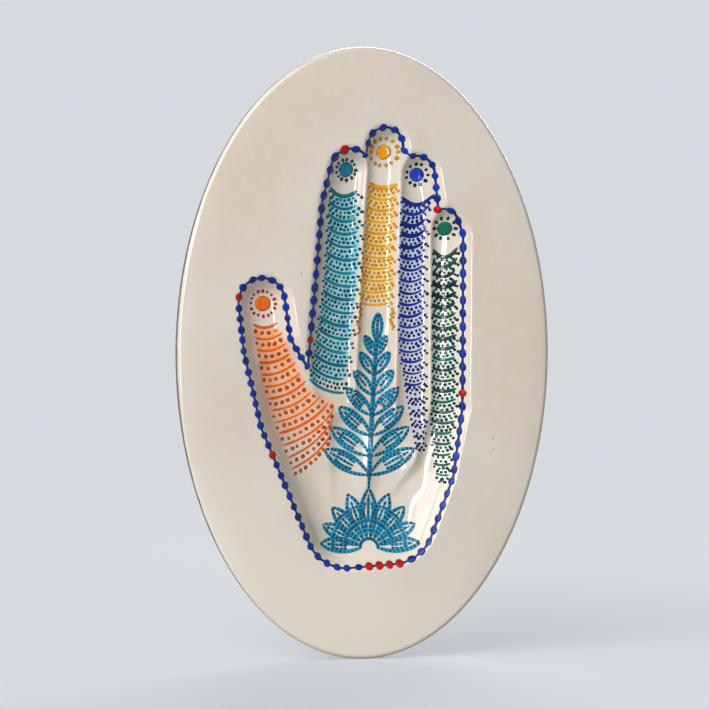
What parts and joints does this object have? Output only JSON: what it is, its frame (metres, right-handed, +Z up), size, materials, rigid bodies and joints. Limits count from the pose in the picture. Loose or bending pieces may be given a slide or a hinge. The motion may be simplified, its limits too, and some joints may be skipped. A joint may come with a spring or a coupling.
{
  "type": "hand ex-voto wall plaque",
  "caption": "Oval glazed ceramic wall plaque with a life-size hand pressed into its face, edged with a string of enamel beads and dotted with enamel fingertip discs.",
  "frame": {"origin": "middle of the wall plane that the foot ring rests on, behind the plaque's centre", "axes": "+Z up along the fingers, +Y into the wall, +X to the right of a viewer who faces the plaque"},
  "size_m": [0.1574, 0.019, 0.255],
  "materials": {
    "ivory_glaze": "gloss glaze with fine dark specks",
    "enamel_bead_blue": "gloss enamel",
    "enamel_red": "gloss enamel",
    "enamel_orange": "gloss enamel",
    "enamel_teal": "gloss enamel",
    "enamel_yellow": "gloss enamel",
    "enamel_ring_blue": "gloss enamel",
    "enamel_green": "gloss enamel"
  },
  "bodies": {
    "root": {"plaque_body": "ivory_glaze", "bead_string_heel_right": "enamel_bead_blue", "bead_string_little_finger": "enamel_bead_blue", "bead_string_ring_and_middle": "enamel_bead_blue", "bead_string_index": "enamel_bead_blue", "bead_string_thumb_web": "enamel_bead_blue", "bead_string_thumb_ball": "enamel_bead_blue", "bead_string_heel_left": "enamel_bead_blue", "red_bead_little_side": "enamel_red", "red_bead_ring_notch": "enamel_red", "red_bead_index_tip": "enamel_red", "red_bead_index_side": "enamel_red", "red_bead_thumb_side": "enamel_red", "red_bead_thumb_ball": "enamel_red", "red_bead_wrist_1": "enamel_red", "red_bead_wrist_2": "enamel_red", "red_bead_wrist_3": "enamel_red", "red_bead_wrist_4": "enamel_red", "fingertip_disc_thumb": "enamel_orange", "fingertip_disc_index": "enamel_teal", "fingertip_disc_middle": "enamel_yellow", "fingertip_disc_ring": "enamel_ring_blue", "fingertip_disc_little": "enamel_green", "crescent_thumb": "enamel_orange", "crescent_index": "enamel_teal", "crescent_middle": "enamel_yellow", "crescent_ring": "enamel_ring_blue", "crescent_little": "enamel_green"}
  },
  "joints": []
}
